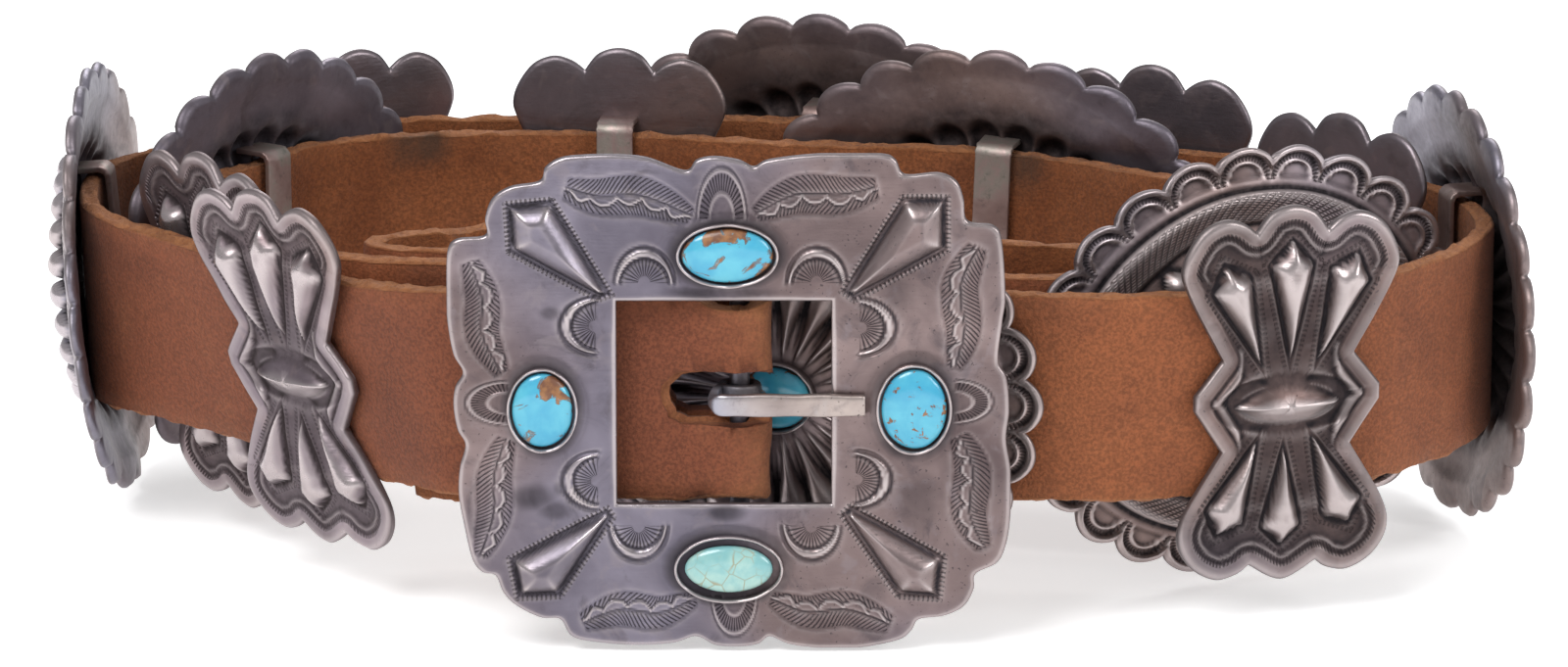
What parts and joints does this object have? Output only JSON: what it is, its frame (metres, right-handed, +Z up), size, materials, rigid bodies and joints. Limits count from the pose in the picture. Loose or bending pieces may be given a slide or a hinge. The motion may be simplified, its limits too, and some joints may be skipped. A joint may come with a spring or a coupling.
{
  "type": "concho belt",
  "caption": "Coiled leather belt carrying oval domed plates and butterfly plates of stamped silver with turquoise stones, its square silver buckle at the front.",
  "frame": {"origin": "bottom centre of the bounding box, on the surface that the coil stands on", "axes": "+Z up along the strap's width, -Y the way the buckle's face looks, +X to the right of someone facing the buckle"},
  "size_m": [0.2328, 0.1548, 0.076],
  "materials": {
    "leather": "worn",
    "silver": "oxidised and worn",
    "bright_silver": "polished by wear",
    "turquoise": "polished",
    "pale_turquoise": "polished"
  },
  "bodies": {
    "belt": {"strap": "leather", "buckle_frame": "silver", "buckle_stone_1": "turquoise", "buckle_stone_2": "turquoise", "buckle_stone_3": "turquoise", "buckle_stone_4": "pale_turquoise", "concho_1": "silver", "concho_stone_1": "turquoise", "concho_2": "silver", "concho_stone_2": "turquoise", "concho_3": "silver", "concho_stone_3": "turquoise", "concho_4": "silver", "concho_stone_4": "turquoise", "concho_5": "silver", "concho_stone_5": "turquoise", "concho_6": "silver", "concho_stone_6": "turquoise", "concho_7": "silver", "concho_stone_7": "turquoise", "butterfly_1": "silver", "butterfly_2": "silver", "butterfly_3": "silver", "butterfly_4": "silver", "butterfly_5": "silver", "butterfly_6": "silver", "butterfly_7": "silver"},
    "prong": {"prong": "bright_silver"}
  },
  "joints": [
    {"name": "prong_hinge", "type": "hinge", "parent": "belt", "child": "prong", "pos_m": [-0.00701, -0.06859, 0.03795], "axis": [0, 0, -1], "range_deg": [0, 100]}
  ]
}
